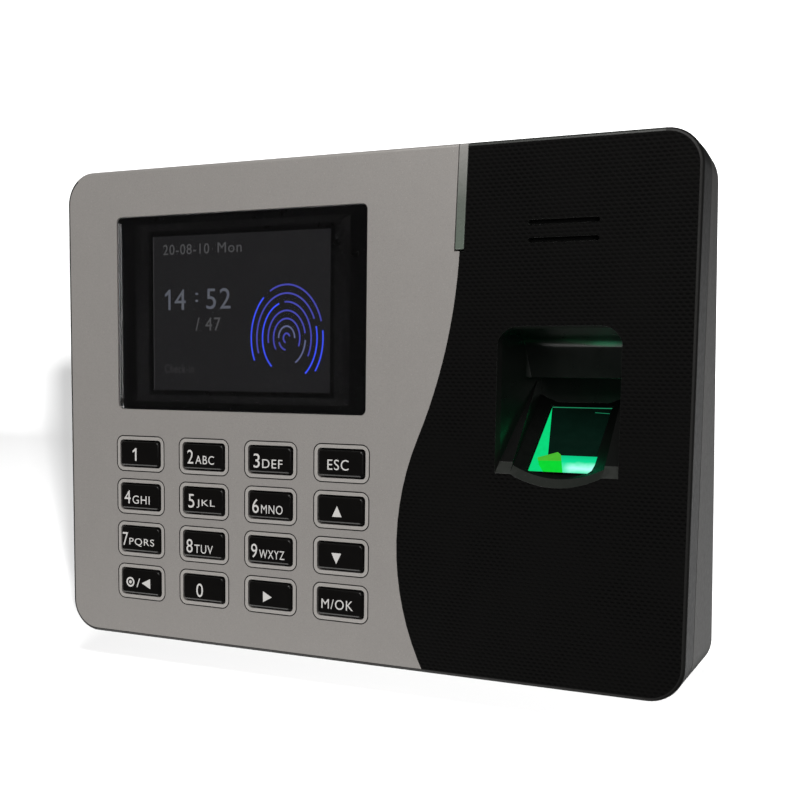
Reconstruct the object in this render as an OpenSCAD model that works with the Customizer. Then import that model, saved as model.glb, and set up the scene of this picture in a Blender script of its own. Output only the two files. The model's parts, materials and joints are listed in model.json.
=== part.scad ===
// Wall-mounted fingerprint terminal: a colour screen, sixteen keys and an optical finger sensor.
// The terminal is drawn in its face frame: X to the right, Y into the body, Z up the face, with
// the origin at the centre of the front face. on_wall() leans it back onto the wall, where the
// origin is the centre of the wall bracket's screw pattern, -Y points into the room and Z is up.

/* [Body] */
// Width of the body
body_w = 183; // [181:0.5:186]
// Height of the body along its face
body_h = 134.5; // [133:0.5:137]
// Radius of the four corners of the outline
corner_r = 9; // [7:0.5:11]
// Rounding between the face and the sides
edge_bevel = 1; // [0.6:0.1:1.4]
// Depth of the body behind the middle of its face
body_d = 32.2; // [31.8:0.1:34]
// Angle at which the face leans back from the wall
lean = 9; // [8.5:0.1:9.5]
// Depth of the front shell, from the face to the seam
front_d = 10; // [9.8:0.1:10.4]
// Width of the shadow gap between the two shells
seam_gap = 0.5; // [0.3:0.1:0.7]
// Thickness of the shell walls
wall = 2.2; // [2:0.1:2.4]
// Rounding of the rear shell's back edges
back_edge_r = 3.5; // [2.5:0.5:4.5]

/* [Faceplate] */
// Thickness of the silver faceplate
plate_t = 2; // [1.8:0.1:2.2]
// Thickness of the front shell behind the faceplate
web_t = 2; // [1.8:0.1:2.2]
// Radius of the lower arc of the faceplate's curved edge
split_lower_r = 72; // [70:1:75]
// Radius of the upper arc of the faceplate's curved edge
split_upper_r = 137; // [130:1:145]
// X of the waist of the curved edge
waist_x = 16; // [15.5:0.1:17]
// Z of the waist of the curved edge
waist_z = -34; // [-35:0.5:-33]

/* [Light bar] */
// Width of the status light bar
bar_w = 2.7; // [2.4:0.1:3]
// Z of its lower end
bar_bottom_z = 40.9; // [40:0.1:43]
// X of its middle line at the lower end
bar_x = 32.15; // [31.8:0.05:32.5]
// Angle of the bar from the vertical
bar_slant = 1.9; // [1.5:0.1:2.3]

/* [Screen] */
// Width of the screen window
window_w = 80; // [79:0.1:81]
// Height of the screen window
window_h = 54.4; // [54:0.1:55]
// X of the window's centre
window_x = -33.5; // [-34:0.1:-33]
// Z of the window's centre
window_z = 26.7; // [26.5:0.1:27]
// Width of the display module
lcd_w = 69.2; // [68:0.1:70]
// Height of the display module
lcd_h = 50; // [49:0.1:51]

/* [Keys] */
// Width of a key cap
key_w = 13.7; // [13.3:0.1:14.1]
// Height of a key cap
key_h = 7.3; // [7:0.1:7.6]
// Distance between the key columns
key_pitch_x = 21.87; // [21.7:0.01:22.2]
// Distance between the key rows
key_pitch_z = 12.52; // [12.3:0.01:12.7]
// X of the first column
key_x = -66; // [-66.5:0.1:-65.7]
// Z of the first row
key_z = -13.45; // [-13.8:0.05:-13.2]
// How far a key sinks when it is pressed
key_travel = 0.8; // [0.5:0.1:0.9]
// How far a key stands proud of the faceplate
key_proud = 0.5; // [0.3:0.1:0.7]

/* [Finger sensor] */
// X of the middle of the finger recess
sensor_x = 58.4; // [58:0.1:59]
// Width of the finger recess at the face
recess_w = 31.6; // [31:0.1:32]
// Z of the recess's top edge
recess_top_z = 22.3; // [22:0.1:22.6]
// Z of the recess's bottom corners
recess_bottom_z = -14; // [-14.5:0.1:-13.5]
// Width of the glass prism
prism_w = 16; // [15:0.1:17]
// Length of the prism's finger face
prism_l = 25.2; // [24.8:0.1:25.6]
// Slope of the finger face
prism_slope = 38.7; // [38:0.1:39.4]

/* [Wall bracket] */
// Height of the bracket's screw pattern above the middle of the face
mount_rise = 8; // [7:0.5:9]
// Width of the bracket plate
bracket_w = 72; // [71:1:73]
// Height of the bracket plate
bracket_h = 48; // [47:1:48]
// Thickness of the bracket plate
bracket_t = 1.5; // [1.2:0.1:1.6]
// Distance between the wall screws, across
screw_dx = 48; // [44:1:50]
// Distance between the wall screws, up
screw_dz = 36; // [34:1:36]
// Diameter of the wall screw holes
screw_hole_d = 4.4; // [4:0.1:4.6]

/* [Hidden] */
$fn = 48;
ROWS = [
    ["1", "2", "3", "esc"],
    ["4", "5", "6", "up"],
    ["7", "8", "9", "down"],
    ["back", "0", "right", "ok"]
];
FIXED = [
    "wall_bracket", "lock_screw", "front_shell", "faceplate", "light_bar", "screen_window",
    "screen_gasket", "lcd_panel", "lcd_tray", "lcd_ribbon", "keypad_mat", "keypad_board",
    "keypad_ribbon", "main_board", "board_chips", "backup_battery", "status_board", "speaker",
    "speaker_mesh", "speaker_wires", "sensor_hood", "sensor_prism", "sensor_housing",
    "sensor_leds", "sensor_lens", "sensor_board", "sensor_ribbon", "rear_shell", "usb_socket",
    "network_socket", "power_socket", "tamper_switch", "tamper_plunger", "reset_switch",
    "reset_button", "case_screws", "board_screws", "keypad_screws", "sensor_screws"
];

eps = 0.01;
far = 300;
half_w = body_w / 2;
half_h = body_h / 2;
inner_w = body_w - 2 * wall;
inner_h = body_h - 2 * wall;
inner_r = corner_r - wall;

// The shells lock together with a lip that bridges the shadow gap.
lip_inset = 1.1;
lip_t = 1;
lip_d = 2;

// The faceplate's curved edge: a lower arc, an upper arc and a straight run to the top.
turn_z = -6;
lower_centre = [waist_x + split_lower_r, waist_z];
turn_a = asin((turn_z - waist_z) / split_lower_r);
turn_x = lower_centre[0] - split_lower_r * cos(turn_a);
foot_a = -asin((half_h + waist_z + 1) / split_lower_r);

// Screen stack, measured from the face.
window_gap = 0.15;
window_t = 1.6;
window_sink = 0.3;
gasket_t = 0.5;
lcd_t = 1.4;
tray_t = 1;
lcd_front = window_sink + window_t + gasket_t;
view_w = 60;
view_h = 46;

// Key stack, measured from the face.
cap_r = 1.1;
cap_gap = 0.35;
rim_w = 1.3;
rim_groove = 0.3;
rim_depth = 0.4;
flange_y = 4.3;
flange_t = 1;
flange_margin = 1.1;
stem_d = 4;
stem_end = 6.3;
mat_y = 8.4;
mat_t = 1;
dome_gap = 0.2;
pad_board_t = 1.2;
pad_w = 3 * key_pitch_x + 26;
pad_h = 3 * key_pitch_z + 15;
pad_x = key_x + 1.5 * key_pitch_x;
pad_z = key_z - 1.5 * key_pitch_z;
pad_board_y = mat_y + mat_t;

// Main board, in the face frame.
board_y = 13;
board_t = 1.6;
board_back = board_y + board_t;
board_x0 = -77;
board_x1 = 34;
board_z0 = -41.5;
board_z1 = 52;
// Chips on the back of the main board: left, bottom, right, top and height.
chips = [
    [-40, 12, -24, 28, 1.4], [-18, 10, -8, 24, 1.2], [-62, 6, -52, 14, 1.8],
    [2, 34, 9, 41, 2], [-64, 30, -54, 36, 1.2]
];
battery_at = [-62, -20];
battery_r = 10;
battery_t = 3.2;
film_t = 0.2;

// Finger recess.
hood_wall = 1.8;
shell_front_t = 2.5;
recess_x0 = sensor_x - recess_w / 2;
recess_x1 = sensor_x + recess_w / 2;
recess_corner = 5.5;
channel_w = 23.4;
channel_r = 30.2;
lip_z = -17;
ceiling_y = 14;
ceiling_z = 19.7;
brow_y = 15.5;
brow_z = 10;
brow_r = 5;
brow_slack = 0.6;
ceiling_r = 2;
side_taper = 5;
taper_y = 26;
cavity_y = 24.5;
prism_y = 3.3;
prism_z = -13.4;
prism_depth = 11.3;
prism_apex = 2;
prism_gap = 0.05;

// Optical module behind the prism.
led_board_y = [8, 15];
led_board_z = -20.2;
led_board_t = 1;
led_y = 11.5;
lens_r = 2.8;
lens_z = -6;
sensor_board_y = 26.9;
sensor_board_t = 1.2;
sensor_board_z = [-28, 1.8];
ribbon_z = [-28, -22];
ribbon_x = sensor_x - 6.4;

// Speaker.
speaker_z = 45;
speaker_r = 10;
speaker_y = shell_front_t + 0.5;
speaker_t = 3.5;
magnet_r = 6;
magnet_t = 2.5;
wire_r = 0.6;
slot_l = 17.7;
slot_shift = 0.5;
slot_h = 1.25;
slot_gap = 4.3;

// Screws: clearance and thread-forming radii.
case_boss_r = 3.6;
pilot_r = 1.5;
shank_r = 1.45;
case_head_y = 14.2;
small_pilot_r = 1;
small_shank_r = 0.98;
pad_edge = 2.6;
case_screw_spots = [
    [-83, 58.5], [-83, -58.5], [83, 58.5], [83, -58.5], [42, 59], [48, -59]
];
board_screw_spots = [[-72.5, 47], [22, 47], [-72.5, -2], [30, -2]];
pad_screw_spots = [
    for (x = [pad_x - pad_w / 2 + pad_edge, pad_x + pad_w / 2 - pad_edge])
        for (z = [pad_z - key_pitch_z, pad_z + key_pitch_z]) [x, z]
];
hood_flange_w = 6;
hood_flange_t = 1.5;
hood_flange_z = [-21, 26];
sensor_screw_spots = [
    for (x = [sensor_x - 19.8, sensor_x + 19.8]) for (z = [-17.5, 22]) [x, z]
];

// Rear pocket for the bracket and bay for the plugs, in the wall frame.
pocket_w = 76;
pocket_z0 = -31;
pocket_z1 = 28;
pocket_d = 5;
floor_t = 2;
bay_x0 = -34;
bay_x1 = 38;
bay_top = -52;
bay_d = 24;
leg_x = 30;
leg_w = 10;
hook_x = 32;
hook_w = 6;
hook_z = [-14, 16];
hook_t = 2;
hook_reach = 8.5;
hook_lip_t = 1.2;
hook_lip_h = 4;
lift = 6;
tab_z = -57;
tab_reach = 12;
lock_y = -8;
window_hole_w = 30;
window_hole_h = 16;
tamper_x = 20;
reset_x = -20;
switch_z = -10;
switch_s = 6;
switch_d = 5;

// Sockets: mouths flush with the ceiling of the bay, in the face frame.
net_x = -22;
net_size = [16, 13.3, 21];
usb_x = -2;
usb_size = [14.4, 7.2, 14];
dc_x = 15;
dc_size = [9, 11, 14];
socket_top_gap = 0.2;
socket_z0 = (bay_top + mount_rise) * cos(lean) - 2.6;

module on_wall() {
    translate([0, 0, -mount_rise])
        rotate([-lean, 0, 0])
            translate([0, -body_d, 0])
                children();
}

// Draws a flat XZ outline as a plate from depth y to depth y + t.
module plate(y, t) {
    translate([0, y + t, 0]) rotate([90, 0, 0]) linear_extrude(height = t) children();
}

// Draws a side view, given as (depth, height), as a bar across from x0 to x1.
module across(x0, x1) {
    translate([x0, 0, 0]) rotate([90, 0, 90]) linear_extrude(height = x1 - x0) children();
}

module rounded(w, h, r) {
    square([w - 2 * r, h], center = true);
    square([w, h - 2 * r], center = true);
    for (sx = [-1, 1]) {
        for (sz = [-1, 1]) {
            translate([sx * (w / 2 - r), sz * (h / 2 - r)]) circle(r = r);
        }
    }
}

// A cylinder along the depth, from y0 to y1.
module post(x, z, r, y0, y1) {
    translate([x, y1, z]) rotate([90, 0, 0]) cylinder(r = r, h = y1 - y0);
}

module box(low, high) {
    translate(low) cube([high[0] - low[0], high[1] - low[1], high[2] - low[2]]);
}

// The body from its round-edged face back to depth d.
module face_block(d) {
    hull() {
        for (a = [30:30:90]) {
            in = edge_bevel * (1 - cos(a));
            plate(edge_bevel * (1 - sin(a)), eps)
                rounded(body_w - 2 * in, body_h - 2 * in, corner_r - in);
        }
        plate(edge_bevel, d - edge_bevel) rounded(body_w, body_h, corner_r);
    }
}

// The wedge behind the seam: sides drawn in by inset, back drawn in by inset.
module wedge(inset, y0) {
    r = corner_r - inset;
    w = body_w / 2 - corner_r;
    h = body_h / 2 - corner_r;
    edge = max(back_edge_r - inset, 0.8);
    hull() {
        plate(y0, eps) rounded(body_w - 2 * inset, body_h - 2 * inset, r);
        for (sx = [-1, 1]) {
            for (sz = [-1, 1]) {
                translate([sx * w, body_d - sz * h * tan(lean) - inset, sz * h])
                    rotate([lean, 0, 0])
                        rotate([90, 0, 0])
                            rotate_extrude($fn = 40)
                                back_corner(r, edge);
            }
        }
    }
}

// Half section of a corner disc with a rounded back edge.
module back_corner(r, edge) {
    intersection() {
        union() {
            translate([r - edge, edge]) circle(r = edge, $fn = 20);
            square([r - edge, 2 * edge]);
        }
        square([r, edge]);
    }
}

// The part of the face to the left of the curved edge.
module left_of_split() {
    lower = [
        for (i = [0:14])
            let (a = foot_a + (turn_a - foot_a) * i / 14)
                [lower_centre[0] - split_lower_r * cos(a), waist_z + split_lower_r * sin(a)]
    ];
    upper = [
        for (i = [1:12])
            let (a = turn_a + (bar_slant - turn_a) * i / 12)
                [
                    turn_x + split_upper_r * (cos(a) - cos(turn_a)),
                    turn_z + split_upper_r * (sin(turn_a) - sin(a))
                ]
    ];
    last = upper[len(upper) - 1];
    top_z = half_h + 2;
    top = [last[0] + (top_z - last[1]) * tan(bar_slant), top_z];
    outline = concat(lower, upper, [top], [[-far, top_z], [-far, -half_h - 2]]);
    polygon(outline);
}

// The slanted strip of the light bar, w wide.
module bar_strip(w) {
    run = half_h - bar_bottom_z + 3;
    shift = run * tan(bar_slant);
    translate([bar_x - w / 2, bar_bottom_z])
        polygon([[0, 0], [w, 0], [w + shift, run], [shift, run]]);
}

module at_each_key() {
    for (row = [0:3]) {
        for (col = [0:3]) {
            translate([key_x + col * key_pitch_x, 0, key_z - row * key_pitch_z]) children();
        }
    }
}

// Outline of the finger recess at the face, with rounded top corners.
module recess_outline() {
    r = recess_corner;
    corner = [for (a = [0:15:90]) [recess_w / 2 - r + r * cos(a), recess_top_z - r + r * sin(a)]];
    mirrored = [for (i = [len(corner) - 1:-1:0]) [-corner[i][0], corner[i][1]]];
    base = [[-recess_w / 2, recess_bottom_z], [recess_w / 2, recess_bottom_z]];
    translate([sensor_x, 0]) polygon(concat(base, corner, mirrored));
}

// Space a fingertip enters: an open front, ramps at the sides and a channel along the prism.
module recess_void() {
    difference() {
        intersection() {
            plate(-1, 40) recess_outline();
            across(recess_x0, recess_x1)
                polygon([
                    [-1, recess_top_z + 0.1], [0, recess_top_z],
                    [ceiling_y - ceiling_r, ceiling_z + ceiling_r * 0.19],
                    [ceiling_y - ceiling_r * 0.3, ceiling_z - ceiling_r * 0.25],
                    [ceiling_y + ceiling_r * 0.15, ceiling_z - ceiling_r],
                    [brow_y, brow_z], [brow_y + 6, brow_z], [0, recess_bottom_z],
                    [-1, recess_bottom_z]
                ]);
            translate([0, 0, -60])
                linear_extrude(height = 120)
                    polygon([
                        [recess_x0, -1], [recess_x1, -1], [recess_x1 - side_taper, taper_y],
                        [recess_x0 + side_taper, taper_y]
                    ]);
        }
        translate([sensor_x, 0, brow_z])
            linear_extrude(height = far)
                for (side = [-1, 1]) brow_corner(side);
    }
    channel_void();
}

// Rounding, seen from above, of the corner between a side of the recess and its back wall.
module brow_corner(side) {
    y = brow_y + brow_slack - brow_r;
    half = recess_w / 2 - side_taper * (y + 1) / (taper_y + 1) + brow_slack;
    arc = [for (a = [0:15:90]) [side * (half - brow_r + brow_r * cos(a)), y + brow_r * sin(a)]];
    polygon(concat(arc, [
        [side * (half - brow_r), taper_y], [side * (half + side_taper), taper_y],
        [side * (half + side_taper), y]
    ]));
}

// The channel: a shallow trough that runs down the slope and out through the bottom lip.
module channel_void() {
    slope = tan(prism_slope);
    intersection() {
        across(sensor_x - channel_w / 2, sensor_x + channel_w / 2)
            polygon([
                [-1, recess_bottom_z + 8], [brow_y, brow_z], [cavity_y, brow_z],
                [cavity_y, prism_z + (cavity_y - prism_y) * slope],
                [-1, prism_z - (prism_y + 1) * slope - 3]
            ]);
        translate([sensor_x, 0, lip_z + channel_r / cos(prism_slope)])
            rotate([prism_slope - 90, 0, 0])
                translate([0, 0, -60])
                    cylinder(r = channel_r, h = 120, $fn = 96);
    }
    on_prism() box([-prism_w / 2 - 0.5, 0, 0], [prism_w / 2 + 0.5, prism_l + 0.3, 3]);
}

// Prism frame: X across, Y up the slope of the finger face, Z out of the glass.
module on_prism() {
    translate([sensor_x, prism_y, prism_z]) rotate([prism_slope, 0, 0]) children();
}

// The prism grown by margin on its hidden sides, up to a height of top above its finger face.
module prism_block(margin, top) {
    w = prism_w / 2 + margin;
    mid = prism_l / 2;
    run = mid - prism_apex;
    side = margin * norm([run, prism_depth]) / prism_depth;
    on_prism()
        across(-w, w)
            intersection() {
                polygon([
                    [-side, far], [-side, 0], [run - side, -prism_depth - margin],
                    [prism_l - run + side, -prism_depth - margin], [prism_l + side, 0],
                    [prism_l + side, far]
                ]);
                translate([-far, -far]) square([2 * far, far + top]);
            }
}

module front_shell() {
    color([0.05, 0.05, 0.055]) on_wall() {
        difference() {
            union() {
                difference() {
                    face_block(front_d);
                    plate(plate_t + web_t, front_d) rounded(inner_w, inner_h, inner_r);
                    intersection() {
                        plate(shell_front_t, front_d) rounded(inner_w, inner_h, inner_r);
                        box([36.5, 0, -half_h], [half_w, front_d, half_h]);
                    }
                }
                shell_lip();
                for (spot = case_screw_spots) {
                    post(spot[0], spot[1], case_boss_r, shell_front_t, front_d);
                }
                for (spot = pad_screw_spots) {
                    post(spot[0], spot[1], 2.2, plate_t + web_t, pad_board_y);
                }
                for (spot = board_screw_spots) {
                    post(spot[0], spot[1], 2.6, plate_t + web_t, board_y);
                }
            }
            plate(-1, 1 + plate_t) left_of_split();
            plate(-1, 1 + plate_t) bar_strip(bar_w);
            window_opening(lcd_w + 0.6, lcd_h + 0.6, 0.8);
            at_each_key() plate(0, 6) rounded(key_w + 2 * cap_gap, key_h + 2 * cap_gap, cap_r);
            recess_void();
            speaker_slots();
            status_light_hole();
            for (spot = case_screw_spots) {
                post(spot[0], spot[1], pilot_r, 4.5, front_d + 1);
            }
            for (spot = pad_screw_spots) {
                post(spot[0], spot[1], small_pilot_r, 5, pad_board_y + 1);
            }
            for (spot = board_screw_spots) {
                post(spot[0], spot[1], small_pilot_r, 5, board_y + 1);
            }
            for (spot = sensor_screw_spots) {
                post(spot[0], spot[1], small_pilot_r, 1.2, shell_front_t + 1);
            }
        }
    }
}

module shell_lip() {
    outer = 2 * lip_inset;
    inner = outer + 2 * lip_t;
    difference() {
        plate(front_d - 1, lip_d + 1) rounded(body_w - outer, body_h - outer, corner_r - lip_inset);
        plate(front_d - 2, lip_d + 3)
            rounded(body_w - inner, body_h - inner, corner_r - lip_inset - lip_t);
    }
}

module window_opening(w, h, r) {
    translate([window_x, 0, window_z]) plate(-1, 12) rounded(w, h, r);
}

module speaker_slots() {
    for (side = [-1, 1]) {
        translate([sensor_x + slot_shift, 0, speaker_z + side * slot_gap / 2])
            plate(-1, 6) rounded(slot_l, slot_h, slot_h / 2 - eps);
    }
}

module status_light_hole() {
    translate([bar_x + 0.4, 0, bar_bottom_z + 12]) plate(0, 6) square([1.6, 20], center = true);
}

module faceplate() {
    color([0.6, 0.59, 0.57]) on_wall() {
        difference() {
            intersection() {
                face_block(6);
                plate(-1, 1 + plate_t) left_of_split();
            }
            window_opening(window_w + 2 * window_gap, window_h + 2 * window_gap, 1.6);
            at_each_key() {
                plate(-1, 6) rounded(key_w + 2 * cap_gap, key_h + 2 * cap_gap, cap_r);
                rim_groove_ring();
            }
            plate(-1, 6) bar_strip(bar_w);
        }
    }
}

// The fine groove that frames each key.
module rim_groove_ring() {
    w = key_w + 2 * rim_w;
    h = key_h + 2 * rim_w;
    difference() {
        plate(-1, 1 + rim_depth) rounded(w + 2 * rim_groove, h + 2 * rim_groove, 2.4);
        plate(-2, 3 + rim_depth) rounded(w, h, 2.1);
    }
}

module light_bar() {
    color([0.62, 0.64, 0.62]) on_wall() {
        intersection() {
            face_block(6);
            plate(0, plate_t) bar_strip(bar_w);
        }
    }
}

module screen_window() {
    color([0.03, 0.03, 0.035]) on_wall()
        translate([window_x, 0, window_z])
            plate(window_sink, window_t) rounded(window_w, window_h, 1.5);
}

module screen_gasket() {
    color([0.1, 0.1, 0.1]) on_wall()
        translate([window_x, 0, window_z])
            plate(window_sink + window_t, gasket_t)
                difference() {
                    rounded(lcd_w, lcd_h, 0.5);
                    square([view_w, view_h], center = true);
                }
}

module lcd_panel() {
    color([0.13, 0.13, 0.16]) on_wall()
        translate([window_x, 0, window_z])
            plate(lcd_front, lcd_t) square([lcd_w - 1, lcd_h - 1], center = true);
}

module lcd_tray() {
    color([0.75, 0.76, 0.78]) on_wall()
        translate([window_x, 0, window_z])
            difference() {
                plate(lcd_front, lcd_t + tray_t) square([lcd_w, lcd_h], center = true);
                plate(lcd_front - 1, lcd_t + 1) square([lcd_w - 1, lcd_h - 1], center = true);
            }
}

module lcd_ribbon() {
    back = lcd_front + lcd_t + tray_t;
    x0 = window_x - 12;
    color([0.72, 0.5, 0.2]) on_wall() {
        box([x0, back, window_z + 20], [x0 + 24, back + film_t, window_z + 24]);
        box([x0, back + film_t, window_z + 24 - film_t], [x0 + 24, board_y, window_z + 24]);
    }
}

// One key: a bevelled cap, a retaining flange and a short stem.
module key_piece(name) {
    col = [for (row = ROWS) for (c = [0:3]) if (row[c] == name) c][0];
    line = [for (r = [0:3]) for (key = ROWS[r]) if (key == name) r][0];
    color([0.04, 0.04, 0.045]) on_wall()
        translate([key_x + col * key_pitch_x, 0, key_z - line * key_pitch_z]) {
            hull() {
                plate(-key_proud, eps) rounded(key_w - 1, key_h - 1, cap_r - 0.5);
                plate(0.3 - key_proud, eps) rounded(key_w - 0.3, key_h - 0.3, cap_r - 0.1);
                plate(1 - key_proud, flange_y - 1 + key_proud) rounded(key_w, key_h, cap_r);
            }
            plate(flange_y, flange_t)
                rounded(key_w + 2 * flange_margin, key_h + 2 * flange_margin, cap_r);
            post(0, 0, stem_d / 2, flange_y + flange_t, stem_end);
        }
}

module keypad_mat() {
    dome_top = stem_end + key_travel + dome_gap;
    color([0.55, 0.56, 0.56]) on_wall() {
        difference() {
            translate([pad_x, 0, pad_z]) plate(mat_y, mat_t) rounded(pad_w - 2, pad_h - 1, 2);
            for (spot = pad_screw_spots) post(spot[0], spot[1], 2.6, 4, 12);
        }
        at_each_key() post(0, 0, 3, dome_top, mat_y);
    }
}

module keypad_board() {
    color([0.05, 0.3, 0.16]) on_wall()
        difference() {
            translate([pad_x, 0, pad_z])
                plate(pad_board_y, pad_board_t) rounded(pad_w, pad_h, 1);
            for (spot = pad_screw_spots) post(spot[0], spot[1], 1.4, 8, 12);
            for (spot = board_screw_spots) post(spot[0], spot[1], 3, 8, 12);
        }
}

module keypad_ribbon() {
    z = pad_z + 4;
    color([0.85, 0.85, 0.82]) on_wall()
        box([pad_x - 9, pad_board_y + pad_board_t, z], [pad_x + 9, board_y, z + 0.4]);
}

module main_board() {
    color([0.04, 0.32, 0.17]) on_wall()
        difference() {
            box([board_x0, board_y, board_z0], [board_x1, board_back, board_z1]);
            for (spot = board_screw_spots) post(spot[0], spot[1], 1.4, 10, 20);
        }
}

module board_chips() {
    color([0.1, 0.1, 0.11]) on_wall()
        for (chip = chips) {
            box([chip[0], board_back, chip[1]], [chip[2], board_back + chip[4], chip[3]]);
        }
}

module backup_battery() {
    color([0.78, 0.78, 0.76]) on_wall()
        post(battery_at[0], battery_at[1], battery_r, board_back, board_back + battery_t);
}

module status_board() {
    color([0.05, 0.3, 0.16]) on_wall() {
        box([bar_x - 4, 4, bar_bottom_z + 1], [bar_x + 4.5, 5, bar_bottom_z + 19]);
        for (i = [0:2]) {
            box([bar_x - 0.2, 3, bar_bottom_z + 3 + 6 * i], [bar_x + 1, 4, bar_bottom_z + 5 + 6 * i]);
        }
    }
}

module speaker() {
    color([0.3, 0.3, 0.32]) on_wall() {
        post(sensor_x, speaker_z, speaker_r, speaker_y, speaker_y + speaker_t);
        post(sensor_x, speaker_z, magnet_r, speaker_y + speaker_t, speaker_y + speaker_t + magnet_t);
    }
}

module speaker_mesh() {
    color([0.08, 0.08, 0.08]) on_wall()
        post(sensor_x, speaker_z, speaker_r, shell_front_t, speaker_y);
}

module speaker_wires() {
    color([0.7, 0.1, 0.1]) on_wall()
        for (side = [-1, 1]) {
            z = speaker_z - 4 + side;
            translate([board_x1 - 6, board_back + wire_r, z])
                rotate([0, 90, 0])
                    cylinder(r = wire_r, h = sensor_x - board_x1 + 6, $fn = 16);
            post(sensor_x, z, wire_r, speaker_y + speaker_t + magnet_t, board_back + wire_r);
        }
}

// The moulded cup behind the finger recess.
module sensor_hood() {
    color([0.06, 0.06, 0.065]) on_wall()
        difference() {
            union() {
                box(
                    [recess_x0 - hood_flange_w, shell_front_t, hood_flange_z[0]],
                    [recess_x1 + hood_flange_w, shell_front_t + hood_flange_t, hood_flange_z[1]]
                );
                across(recess_x0 - hood_wall, recess_x1 + hood_wall)
                    polygon([
                        [shell_front_t, 24.3], [ceiling_y + 0.8, 21.7], [brow_y + 1.8, 11],
                        [cavity_y + 1.8, 11], [cavity_y + 1.8, 2.6], [24.1, 0.9], [5, -14.4],
                        [5, -19.5], [shell_front_t, -19.5]
                    ]);
            }
            recess_void();
            prism_block(prism_gap, 0.5);
            for (spot = sensor_screw_spots) post(spot[0], spot[1], 1.1, 0, 8);
        }
}

module sensor_prism() {
    color([0.15, 0.75, 0.4]) on_wall() prism_block(0, 0);
}

module sensor_housing() {
    color([0.09, 0.09, 0.09]) on_wall()
        difference() {
            intersection() {
                prism_block(hood_wall, -1.95);
                box([0, 5.2, -40], [far, 40, 40]);
            }
            prism_block(prism_gap, 0.5);
            box([sensor_x - 7, 9, -19], [sensor_x + 7, 14, -12]);
            post(sensor_x, lens_z, lens_r + 0.2, 18, 30);
        }
}

module sensor_leds() {
    color([0.1, 0.9, 0.4]) on_wall() {
        top = led_board_z + led_board_t;
        box([sensor_x - 9, led_board_y[0], led_board_z], [sensor_x + 9, led_board_y[1], top]);
        for (i = [-1.5:1:1.5]) {
            x = sensor_x + 3.6 * i;
            box([x - 1, led_y - 1, top], [x + 1, led_y + 1, top + 1.4]);
        }
    }
}

module sensor_lens() {
    color([0.6, 0.65, 0.7]) on_wall()
        post(sensor_x, lens_z, lens_r, sensor_board_y - 2, sensor_board_y);
}

module sensor_board() {
    color([0.04, 0.32, 0.17]) on_wall()
        box(
            [sensor_x - 12, sensor_board_y, sensor_board_z[0]],
            [sensor_x + 12, sensor_board_y + sensor_board_t, sensor_board_z[1]]
        );
}

module sensor_ribbon() {
    low = ribbon_z[0];
    high = ribbon_z[1];
    color([0.85, 0.85, 0.82]) on_wall() {
        box([board_x1 - 4, board_back, low], [ribbon_x, board_back + film_t, high]);
        box([ribbon_x - film_t, board_back, low], [ribbon_x, sensor_board_y, high]);
    }
}

// The wedge-shaped rear shell with its bracket pocket and plug bay.
module rear_shell() {
    y0 = front_d + seam_gap;
    color([0.42, 0.42, 0.4]) {
        difference() {
            union() {
                on_wall() difference() {
                    wedge(0, y0);
                    wedge(wall, y0 - 1);
                    plate(y0 - 1, 3)
                        rounded(body_w - 2 * lip_inset, body_h - 2 * lip_inset, corner_r - lip_inset);
                }
                intersection() {
                    on_wall() wedge(0, y0 + 2);
                    union() {
                        pocket_block(floor_t, 0);
                        bay_block(floor_t);
                        on_wall()
                            for (spot = case_screw_spots) {
                                post(spot[0], spot[1], 5, front_d + 0.6, 60);
                            }
                    }
                }
            }
            pocket_block(0, 1);
            bay_block(0);
            leg_channel();
            socket_mouths();
            for (x = [-hook_x, hook_x]) {
                for (z = hook_z) {
                    hook_slot(x, z);
                }
            }
            switch_hole(tamper_x, 1.4);
            switch_hole(reset_x, 1.5);
            lock_hole();
            on_wall()
                for (spot = case_screw_spots) {
                    post(spot[0], spot[1], 1.7, front_d, 30);
                    post(spot[0], spot[1], 3.4, case_head_y, 60);
                }
        }
    }
}

module pocket_block(margin, proud) {
    x = pocket_w / 2 + margin;
    box([-x, -pocket_d - margin, pocket_z0 - margin], [x, proud, pocket_z1 + margin]);
}

module bay_block(margin) {
    box([bay_x0 - margin, -bay_d - margin, -100], [bay_x1 + margin, 1, bay_top + margin]);
}

// The slot in the pocket floor that a hook enters and drops down in.
module hook_slot(x, z) {
    w = hook_w / 2 + 0.5;
    box([x - w, -20, z - lift - 0.5], [x + w, 0, z + hook_t + 0.2]);
}

module leg_channel() {
    w = leg_w / 2 + 0.5;
    box([leg_x - w, -bracket_t - 1, bay_top - 1], [leg_x + w, 1, pocket_z0 + 1]);
}

module switch_hole(x, r) {
    translate([x, -pocket_d - 4, switch_z]) rotate([-90, 0, 0]) cylinder(r = r, h = 6);
}

module lock_hole() {
    translate([leg_x, lock_y, bay_top - 1]) cylinder(r = 2, h = 8);
}

// Cut-outs in the bay's ceiling that the sockets' mouths stand in.
module socket_mouths() {
    on_wall() {
        socket_space(net_x, net_size);
        socket_space(usb_x, usb_size);
        socket_space(dc_x, dc_size);
    }
}

module socket_space(x, size) {
    g = socket_top_gap;
    half = size[0] / 2 + g;
    box([x - half, board_back, socket_z0 - 4], [x + half, board_back + size[1] + g, socket_z0 + 6]);
}

module network_socket() {
    color([0.72, 0.73, 0.74]) on_wall()
        translate([net_x - net_size[0] / 2, board_back, socket_z0])
            difference() {
                cube(net_size);
                translate([2.1, 3.4, -1]) cube([11.8, 6.8, 14]);
                translate([4.8, 1.6, -1]) cube([6.4, 4, 10]);
            }
}

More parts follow.
